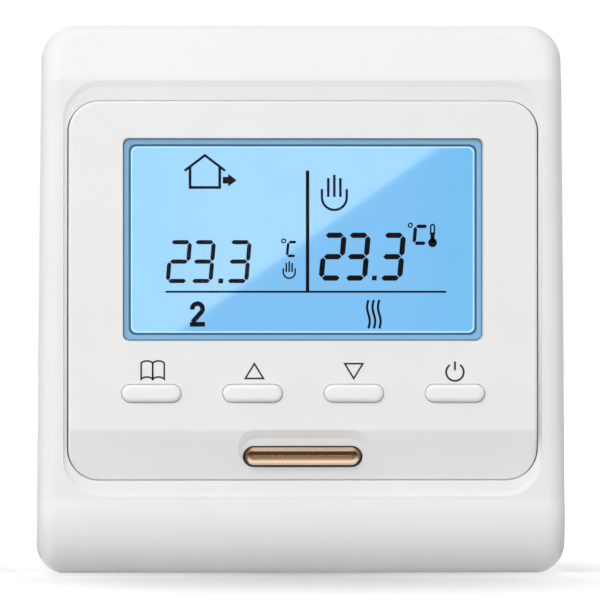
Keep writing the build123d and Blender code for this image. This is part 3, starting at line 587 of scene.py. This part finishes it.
# -------------------------------------------------------------- display characters
# Places are measured from the middle of the display.
digit_slant = 5.0
left_digits = {
    "places": (-20.4, -16.45, -10.55), "bottom": -6.82, "height": 6.4, "width": 3.1, "stroke": 0.70,
}
right_digits = {
    "places": (5.0, 8.98, 14.8), "bottom": -6.33, "height": 7.05, "width": 3.15, "stroke": 0.88,
}
point_size = 0.78
point_shift = 0.3               # from midway between the digits on its two sides
bar_gap = 0.12                  # from a bar's end to its corner, in widths of the stroke
lit_segments = {"1": "bc", "2": "abged", "3": "abgcd", "4": "fgbc", "5": "afgcd", "6": "afgedc"}


def segment_bar(flat, start, end, stroke, gap):
    """One bar of a digit: a strip with pointed ends, drawn short of its corners."""
    way = (Vector(end) - Vector(start)).normalized()
    side = Vector((-way.y, way.x)) * stroke / 2
    low = Vector(start) + way * gap
    high = Vector(end) - way * gap
    point = way * stroke / 2
    flat.polygon([
        low, low + point + side, high - point + side, high, high - point - side, low + point - side,
    ])


def digit(flat, character, x, bottom, height, width, stroke):
    middle = bottom + height / 2
    top = bottom + height
    left = x - width / 2
    right = x + width / 2
    bars = {
        "a": ((left, top), (right, top)),
        "b": ((right, top), (right, middle)),
        "c": ((right, middle), (right, bottom)),
        "d": ((left, bottom), (right, bottom)),
        "e": ((left, middle), (left, bottom)),
        "f": ((left, top), (left, middle)),
        "g": ((left, middle), (right, middle)),
    }
    for bar in lit_segments[character]:
        segment_bar(flat, *bars[bar], stroke, stroke * bar_gap)


def make_number(name, characters, layout):
    """Three digits in slanted bars, with a point after the second."""
    bottom = view_middle + layout["bottom"]
    flat = Flat(digit_slant, bottom + layout["height"] / 2)
    size = (layout["height"], layout["width"], layout["stroke"])
    for character, x in zip(characters, layout["places"]):
        digit(flat, character, x, bottom, *size)
    _, second, third = layout["places"]
    flat.polygon(square((second + third) / 2 + point_shift, bottom, point_size))
    segments(flat, name)


def rectangle(left, right, bottom, top):
    return [(left, bottom), (right, bottom), (right, top), (left, top)]


def square(x, z, size):
    half = size / 2
    return rectangle(x - half, x + half, z - half, z + half)


def segments(flat, name):
    """Lay the shapes on the front of the display's film."""
    out = film_box["front"] + segment_lift
    flat.piece(name, out, segment_thickness, segment_ink, "polariser_film")


def make_ruling():
    """A line under the digits, and a divider between the two temperatures."""
    flat = Flat()
    line = view_middle - 8.6
    line_ends, line_width = (-22.6, 23.75), 0.33
    divider_x, divider_width = 0.85, 0.58
    divider_foot, divider_head = 0.14, 20.0
    flat.line([(x, line) for x in line_ends], line_width)
    divider = [(divider_x, line + divider_foot), (divider_x, line + divider_head)]
    flat.line(divider, divider_width)
    segments(flat, "segment_ruling")


def make_house():
    """A house with an arrow that leaves it, for the time away."""
    flat = Flat()
    x = -16.1
    ground = view_middle + 8.6
    eaves = ground + 2.75
    apex = ground + 5.3
    roof_half, roof_stroke = 3.35, 0.42
    wall_half, wall_stroke = 2.45, 0.46
    wall_top = eaves + 0.55
    flat.line([(x - roof_half, eaves), (x, apex), (x + roof_half, eaves)], roof_stroke)
    walls = [
        (x - wall_half, wall_top), (x - wall_half, ground),
        (x + wall_half, ground), (x + wall_half, wall_top),
    ]
    flat.line(walls, wall_stroke)
    arrow = ground + 1.2
    tail, neck, tip = x + 2.95, x + 3.85, x + 5.25
    shaft_half, head_half = 0.55, 1.05
    flat.polygon([
        (tail, arrow - shaft_half), (neck, arrow - shaft_half), (neck, arrow - head_half),
        (tip, arrow), (neck, arrow + head_half), (neck, arrow + shaft_half),
        (tail, arrow + shaft_half),
    ])
    segments(flat, "segment_house")


def draw_hand(flat, x, z, scale, stroke):
    """Three fingers over the curve of a palm."""
    palm, rise, finger_foot, finger_stroke = 2.05 * scale, 1.4 * scale, 0.1 * scale, stroke * 1.05
    curve = arc(x, z, palm, 180, 360, 17)
    flat.line([(x - palm, z + rise)] + curve + [(x + palm, z + rise)], stroke)
    for step, reach in ((-1, 3.2), (0, 3.75), (1, 3.2)):
        side = x + step * scale
        flat.line([(side, z + finger_foot), (side, z + reach * scale)], finger_stroke)


def make_hands():
    flat = Flat()
    draw_hand(flat, 5.27, view_middle + 6.95, scale=1.0, stroke=0.40)
    draw_hand(flat, -2.18, view_middle - 5.38, scale=0.48, stroke=0.26)
    segments(flat, "segment_hands")


def draw_degree(flat, x, z, width, height, stroke):
    """A degree ring and a C in bars."""
    ring_x, ring_z = x - 0.75 * stroke - 0.45, z + height + 0.18
    ring_radius, ring_stroke, c_gap = 0.32, 0.22, 0.15
    flat.line(arc(ring_x, ring_z, ring_radius, 0, 345, 24), ring_stroke, closed=True)
    for start, end in (
        ((x, z + height), (x + width, z + height)),
        ((x, z + height), (x, z)),
        ((x, z), (x + width, z)),
    ):
        segment_bar(flat, start, end, stroke, stroke * c_gap)


def make_units():
    flat = Flat(digit_slant, view_middle)
    draw_degree(flat, -2.3, view_middle - 2.68, width=1.4, height=2.28, stroke=0.44)
    draw_degree(flat, 18.5, view_middle - 0.58, width=2.0, height=2.78, stroke=0.58)
    segments(flat, "segment_units")


def make_thermometer():
    """A full bulb and column, under the open end of the tube."""
    flat = Flat()
    x = 21.5
    bulb = view_middle - 0.5
    bulb_radius, column_height, column_width = 0.74, 1.7, 0.7
    tube_foot, tube_head, tube_half, tube_stroke = bulb + 1.4, bulb + 2.7, 0.3, 0.26
    flat.disc(x, bulb, bulb_radius)
    flat.line([(x, bulb), (x, bulb + column_height)], column_width)
    cap = arc(x, tube_head, tube_half, 180, 0, 9)
    flat.line([(x - tube_half, tube_foot)] + cap + [(x + tube_half, tube_foot)], tube_stroke)
    segments(flat, "segment_thermometer")


def make_heat_waves():
    flat = Flat()
    bottom = view_middle - 14.65
    height, sway, stroke, steps = 4.7, 0.22, 0.38, 20
    for x in (10.9, 11.8, 12.7):
        wave = [
            (x + sway * math.sin(2 * math.pi * step / steps), bottom + height * step / steps)
            for step in range(steps + 1)
        ]
        flat.line(wave, stroke)
    segments(flat, "segment_heat_waves")


def make_period_number():
    """An upright bold 2: the part of the day that is running."""
    flat = Flat()
    x = -17.33
    bottom = view_middle - 14.35
    foot_half, stroke = 1.25, 0.78
    bowl_height, bowl_radius = 2.95, 0.85
    bowl = arc(x, bottom + bowl_height, bowl_radius, 190, -35, 20)
    flat.line(bowl + [(x - 0.80, bottom + 0.75)], stroke)
    flat.polygon(rectangle(x - foot_half, x + foot_half, bottom, bottom + stroke))
    segments(flat, "segment_period_number")


# ---------------------------------------------------------------- printed symbols
symbol_rise = 3.82              # from the middle of a button to the middle of its symbol
symbol_lift = 0.002             # from the panel's face to the back of the print
symbol_stroke = 0.28
symbol_shift = {"menu": 0.25, "up": 0.3}        # to the right, as in the photograph


def symbol_place(name):
    box = button_boxes[name]
    middle = (box["left"] + box["right"]) / 2 + symbol_shift.get(name, 0.0)
    return middle, (box["bottom"] + box["top"]) / 2 + symbol_rise


def printed(flat, name):
    out = panel_box["front"] + symbol_lift
    flat.piece(name, out, print_thickness, symbol_ink, "button_white")


def make_book_symbol():
    """An open book: two pages that curve up to the spine."""
    x, z = symbol_place("menu")
    flat = Flat()
    half, tall, drop = 1.9, 1.5, 0.35
    rise, bend, steps = 0.36, 0.7, 8
    for side in (-1, 1):
        top = []
        for step in range(steps + 1):
            curve = rise * math.sin(math.pi * step / steps) ** bend
            top.append((x + side * half * step / steps, z + tall - drop + curve))
        bottom = [(page_x, page_z - 2 * tall + drop) for page_x, page_z in reversed(top)]
        flat.line(top + bottom, symbol_stroke, closed=True)
    printed(flat, "symbol_book")


def make_arrow_symbols():
    half, tall, drop = 1.5, 1.22, 0.18
    for name, turn in (("up", 1), ("down", -1)):
        x, z = symbol_place(name)
        z -= drop
        flat = Flat()
        corners = [(x - half, z - turn * tall), (x, z + turn * tall), (x + half, z - turn * tall)]
        flat.line(corners, symbol_stroke, closed=True)
        printed(flat, f"symbol_{name}")


def make_power_symbol():
    """A ring that is open above, and an upright bar in the opening."""
    x, z = symbol_place("power")
    radius, drop, bar_foot, bar_head = 1.45, 0.35, -0.05, 1.4
    thicker = 1.15
    stroke = symbol_stroke * thicker
    flat = Flat()
    flat.line(arc(x, z - drop, radius, 125, 415, 33), stroke)
    flat.line([(x, z + bar_foot), (x, z + bar_head)], stroke)
    printed(flat, "symbol_power")


# ------------------------------------------------------------- boards and terminals
terminal_box = extent("terminal_block")
terminal_count = 6
number_size = (1.5, 0.8, 0.2)   # height, width and stroke
number_foot = 0.45              # from the lower edge of the block


def make_terminal_numbers():
    """Numbers 1 to 6 under the screws, printed on the back of the terminal block."""
    flat = Flat()
    pitch = (terminal_box["right"] - terminal_box["left"]) / terminal_count
    low = terminal_box["bottom"] + number_foot
    for index in range(terminal_count):
        x = terminal_box["left"] + pitch * (index + 0.5)
        digit(flat, str(index + 1), x, low, *number_size)
    for vert in flat.mesh.verts:
        vert.co.x = -vert.co.x
    flat.mesh.normal_update()
    out = terminal_box["back"] - print_thickness
    flat.piece("terminal_numbers", out, print_thickness, number_white, "frame_white", "base")


chip_length = 2.0
chip_width = 1.25
chip_tall = 0.5
chip_end = 0.4
tin_thickness = 0.03
column_places = (10.0, 13.5, 17.0, 20.5, 24.0)
chip_rows = {
    "board_resistors": (
        [(x, 14.0) for x in column_places] + [(x, -9.5) for x in (-24.0, -8.0, 8.0, 24.0)]
    ),
    "board_capacitors": (
        [(x, 9.5) for x in column_places] + [(-27.5, z) for z in (4.0, 7.0, 10.0, 13.0)]
        + [(-21.4, 0.45), (-12.9, 0.45)]
    ),
}


def make_board_chips():
    """Resistors and capacitors on the back of the control board, with tinned ends."""
    board_back = extent("control_board")["back"]
    half, across = chip_length / 2, chip_width / 2
    inner = half - chip_end
    ends = Flat()
    for name, places in chip_rows.items():
        bodies = Flat()
        for x, z in places:
            bottom, top = z - across, z + across
            bodies.polygon(rectangle(x - inner, x + inner, bottom, top))
            ends.polygon(rectangle(x - half, x - inner, bottom, top))
            ends.polygon(rectangle(x + inner, x + half, bottom, top))
        bodies.piece(name, board_back - chip_tall, chip_tall, chip_colours[name], "chip_black")
    end_tall = chip_tall + tin_thickness
    ends.piece("board_chip_ends", board_back - end_tall, end_tall, tinned, "can_steel")


make_window_border()
make_terminal_numbers()
make_board_chips()
make_number("segment_room_digits", "233", left_digits)
make_number("segment_set_digits", "233", right_digits)
make_ruling()
make_house()
make_hands()
make_units()
make_thermometer()
make_heat_waves()
make_period_number()
make_book_symbol()
make_arrow_symbols()
make_power_symbol()


# -------------------------------------------------------------------------- studio
# Places and sizes in the studio are in metres.
floor_gap = 0.2 * MM             # below the frame
floor_level = frame_box["bottom"] * MM - floor_gap
camera_distance = 2.2            # from the front of the panel
view_width = 98.85 * MM          # across the picture, at the front of the panel
camera_side = math.radians(-2.9)        # a little to the left of straight on
camera_target = (-0.00052, -panel_box["front"] * MM, 0.0)
camera_place = (
    camera_target[0] + camera_distance * math.sin(camera_side),
    camera_target[1] - camera_distance * math.cos(camera_side), 0.0
)


def facing(place, target):
    return (Vector(target) - Vector(place)).to_track_quat("-Z", "Y").to_euler()


def make_camera():
    data = bpy.data.cameras.new("camera")
    data.sensor_width = 36.0
    data.lens = data.sensor_width * camera_distance / view_width
    camera = bpy.data.objects.new("camera", data)
    camera.location = camera_place
    camera.rotation_euler = facing(camera_place, camera_target)
    bpy.context.scene.collection.objects.link(camera)
    bpy.context.scene.camera = camera


def area_lamp(name, place, target, size, power):
    """A lamp that shiny parts don't mirror."""
    data = bpy.data.lights.new(name, "AREA")
    data.shape = "RECTANGLE"
    data.size = data.size_y = size
    data.energy = power
    lamp = bpy.data.objects.new(name, data)
    lamp.location = place
    lamp.rotation_euler = facing(place, target)
    lamp.visible_glossy = False
    bpy.context.scene.collection.objects.link(lamp)


def stage_sheet(name, corners, material):
    """A flat sheet of the studio, from its corners."""
    mesh = bpy.data.meshes.new(name)
    mesh.from_pydata(corners, [], [tuple(range(len(corners)))])
    mesh.materials.append(material)
    made = bpy.data.objects.new(name, mesh)
    bpy.context.scene.collection.objects.link(made)
    return made


def level_sheet(name, level, left, right, near, far, material):
    sides = ((left, near), (right, near), (right, far), (left, far))
    return stage_sheet(name, [(x, y, level) for x, y in sides], material)


def only_in_reflections(sheet):
    sheet.visible_camera = False
    sheet.visible_diffuse = False
    sheet.visible_transmission = False
    sheet.visible_shadow = False


def glow(name, colour, strength=1.0):
    """A material that only gives light, and its tree and shader."""
    material = bpy.data.materials.new(name)
    material.use_nodes = True
    tree = material.node_tree
    tree.nodes.clear()
    emission = tree.nodes.new("ShaderNodeEmission")
    emission.inputs["Color"].default_value = colour
    emission.inputs["Strength"].default_value = strength
    output = tree.nodes.new("ShaderNodeOutputMaterial")
    tree.links.new(emission.outputs["Emission"], output.inputs["Surface"])
    return material, tree, emission


def set_stops(ramp, stops):
    elements = ramp.color_ramp.elements
    while len(elements) < len(stops):
        elements.new(0.5)
    for element, (position, colour) in zip(elements, stops):
        element.position = position
        element.color = (*colour, 1.0)


table_stops = (
    (0.0, (1.0, 1.0, 1.0)),
    (0.04, (0.52, 0.44, 0.39)),
    (0.15, (0.33, 0.23, 0.19)),
    (1.0, (0.22, 0.14, 0.11)),
)
table_near = 0.022               # in front of the wall
table_far = 0.25                 # where the colours of the table end
table_reach = 4.0
table_half = 2.0
table_lift = 0.0002              # above the floor
table_brown = (0.10, 0.06, 0.045, 1.0)
beside_near = 0.046              # to the left and right of the object
beside_far = 1.5
beside_back = 0.3


def make_dark_table():
    """What shiny parts reflect of the floor: darker with the distance, dark at the sides."""
    material, tree, emission = glow("dark_table", plain_white)
    place = tree.nodes.new("ShaderNodeTexCoord")
    split = tree.nodes.new("ShaderNodeSeparateXYZ")
    tree.links.new(place.outputs["Object"], split.inputs["Vector"])
    depth = tree.nodes.new("ShaderNodeMapRange")
    depth.inputs["From Min"].default_value = -table_near
    depth.inputs["From Max"].default_value = -table_far
    tree.links.new(split.outputs["Y"], depth.inputs["Value"])
    ramp = tree.nodes.new("ShaderNodeValToRGB")
    set_stops(ramp, table_stops)
    tree.links.new(depth.outputs["Result"], ramp.inputs["Fac"])
    tree.links.new(ramp.outputs["Color"], emission.inputs["Color"])
    level = floor_level + table_lift
    only_in_reflections(level_sheet(
        "dark_table", level, -table_half, table_half, -table_near, -table_reach, material))
    beside = glow("table_beside", table_brown)[0]
    for name, side in (("left", -1), ("right", 1)):
        only_in_reflections(level_sheet(
            f"{name}_table", level, side * beside_near, side * beside_far,
            -table_near, beside_back, beside))


def elevation(angle):
    """Where a direction's height, from -1 to 1, falls between 0 and 1."""
    return (1 + math.sin(math.radians(angle))) / 2


mirror_stops = (
    (elevation(-90), (1.0, 1.0, 1.0)),
    (elevation(-5), (0.25, 0.16, 0.13)),
    (elevation(8), (0.15, 0.085, 0.053)),
    (elevation(38), (0.055, 0.03, 0.015)),
    (elevation(54), (0.13, 0.11, 0.07)),
    (elevation(65), (0.50, 0.48, 0.42)),
    (elevation(75), (1.0, 1.0, 1.0)),
)
mirror_back = (0.9, 0.9, 0.9, 1.0)
mirror_back_share = (0.35, 0.75)        # of the way from sideways to straight back


def studio_for_mirrors(tree):
    """What shiny parts reflect: a dark brown room in front, a pale ceiling and a white back."""
    coordinates = tree.nodes.new("ShaderNodeTexCoord")
    way = tree.nodes.new("ShaderNodeSeparateXYZ")
    tree.links.new(coordinates.outputs["Generated"], way.inputs["Vector"])
    height = tree.nodes.new("ShaderNodeMapRange")
    height.inputs["From Min"].default_value = -1.0
    tree.links.new(way.outputs["Z"], height.inputs["Value"])
    ramp = tree.nodes.new("ShaderNodeValToRGB")
    set_stops(ramp, mirror_stops)
    tree.links.new(height.outputs["Result"], ramp.inputs["Fac"])
    behind = tree.nodes.new("ShaderNodeMapRange")
    start, end = mirror_back_share
    behind.inputs["From Min"].default_value = start
    behind.inputs["From Max"].default_value = end
    tree.links.new(way.outputs["Y"], behind.inputs["Value"])
    room = tree.nodes.new("ShaderNodeMix")
    room.data_type = "RGBA"
    tree.links.new(behind.outputs["Result"], room.inputs["Factor"])
    tree.links.new(ramp.outputs["Color"], room.inputs["A"])
    room.inputs["B"].default_value = mirror_back
    background = tree.nodes.new("ShaderNodeBackground")
    tree.links.new(room.outputs["Result"], background.inputs["Color"])
    return background


def make_world(light, seen):
    """Even light from all around, plain white to the camera, and a room for mirrors."""
    world = bpy.data.worlds.new("studio")
    bpy.context.scene.world = world
    world.use_nodes = True
    tree = world.node_tree
    tree.nodes.clear()

    def white(strength):
        background = tree.nodes.new("ShaderNodeBackground")
        background.inputs["Color"].default_value = plain_white
        background.inputs["Strength"].default_value = strength
        return background.outputs["Background"]

    def choose(switch, without, chosen):
        mix = tree.nodes.new("ShaderNodeMixShader")
        for source, target in zip((switch, without, chosen), mix.inputs):
            tree.links.new(source, target)
        return mix.outputs["Shader"]

    path = tree.nodes.new("ShaderNodeLightPath")
    seen_by = tree.nodes.new("ShaderNodeMath")
    seen_by.operation = "MAXIMUM"
    tree.links.new(path.outputs["Is Camera Ray"], seen_by.inputs[0])
    tree.links.new(path.outputs["Is Transmission Ray"], seen_by.inputs[1])
    plain = choose(seen_by.outputs["Value"], white(light), white(seen))
    mirrored = studio_for_mirrors(tree).outputs["Background"]
    output = tree.nodes.new("ShaderNodeOutputWorld")
    tree.links.new(choose(path.outputs["Is Glossy Ray"], plain, mirrored), output.inputs["Surface"])


floor_white = linear(0.77, 0.77, 0.77)
floor_half = 6.0
under_object = (0.008, 0.014)    # how far from the wall's plane the floor changes
shadow_ends = (0.004, 0.13)      # where the floor starts to whiten, and where it is white
shadow_width = 0.4               # as a share of its depth, from front to back
beside_object = (0.030, 0.064)
least_boost = 0.08
beside_boost = 0.15


def make_floor(under, around, seen, mirrored):
    """A table lit from below, plain white to the camera away from the object's shadow; the camera's
    whitening, least near the object, paints how far that shadow reaches.
    """
    roughness, cloud_mm, tint = 0.7, 60.0, 0.01
    finish = Finish("floor_white", floor_white, roughness)
    finish.tint(finish.noise(cloud_mm), tint)
    x, y, _ = finish.axes()
    lit = finish.between(finish.calculate("ABSOLUTE", y), *under_object, under, around)
    distance = finish.node("ShaderNodeVectorMath", operation="LENGTH")
    finish.link(finish.place((1, shadow_width, 0)), distance.inputs[0])
    # painted shadow: the camera sees the floor whitened less near the object, and more with
    # distance and beside it
    boost = finish.between(distance.outputs["Value"], *shadow_ends, least_boost, seen)
    beside = finish.between(finish.calculate("ABSOLUTE", x), *beside_object, 0.0, beside_boost)
    boost = finish.calculate("ADD", boost, beside)
    path = finish.node("ShaderNodeLightPath")
    lit = finish.calculate("MULTIPLY_ADD", path.outputs["Is Camera Ray"], boost, lit)
    lit = finish.calculate("MULTIPLY_ADD", path.outputs["Is Glossy Ray"], mirrored, lit)
    finish.shader.inputs["Emission Color"].default_value = plain_white
    finish.link(lit, finish.shader.inputs["Emission Strength"])
    sides = (-floor_half, floor_half) * 2
    level_sheet("floor", floor_level, *sides, finish.material)


glare_low = (-20.4, -4.9)        # two points of the window, in millimetres, that the
glare_high = (21.1, 24.3)        # glare's slanting edge passes
glare_strength = 2.1
glare_away = 0.3                 # from the camera, away from the object
glare_width = 0.6
glare_below, glare_above = 0.6, 0.1     # the edge runs on past them by these shares


def seen_in_window(x, z, away):
    """The place at a distance behind the camera that the window's point (x, z) mirrors."""
    middle_x, _, middle_z = camera_place
    reach = 1 + (camera_distance + away) / camera_distance
    return Vector((
        middle_x + (x * MM - middle_x) * reach, -camera_distance - away,
        middle_z + (z * MM - middle_z) * reach
    ))


def make_glare_card():
    """A lit sheet behind the camera, whose slanting edge crosses the window's reflection."""
    low = seen_in_window(*glare_low, glare_away)
    high = seen_in_window(*glare_high, glare_away)
    run = high - low
    low -= run * glare_below
    high += run * glare_above
    left = low.x - glare_width
    corners = [tuple(low), tuple(high), (left, high.y, high.z), (left, low.y, low.z)]
    material = glow("card_glow", plain_white, glare_strength)[0]
    only_in_reflections(stage_sheet("glare_card", corners, material))


make_camera()
make_world(light=0.655, seen=1.0)
make_dark_table()
make_floor(under=0.10, around=0.02, seen=0.85, mirrored=0.6)
make_glare_card()
middle = (0, 0, 0)
before_foot = (0, -0.05, floor_level)
area_lamp("key_lamp", (-0.45, -1.20, 0.70), middle, size=0.7, power=10.8)
area_lamp("left_lamp", (-1.4, -0.35, 0.25), middle, size=0.6, power=1.6)
area_lamp("right_lamp", (1.4, -0.30, 0.15), middle, size=0.6, power=0.2)
area_lamp("back_lamp", (0.0, 1.1, 0.65), before_foot, size=0.7, power=4.0)
bpy.context.scene.view_settings.view_transform = "Standard"
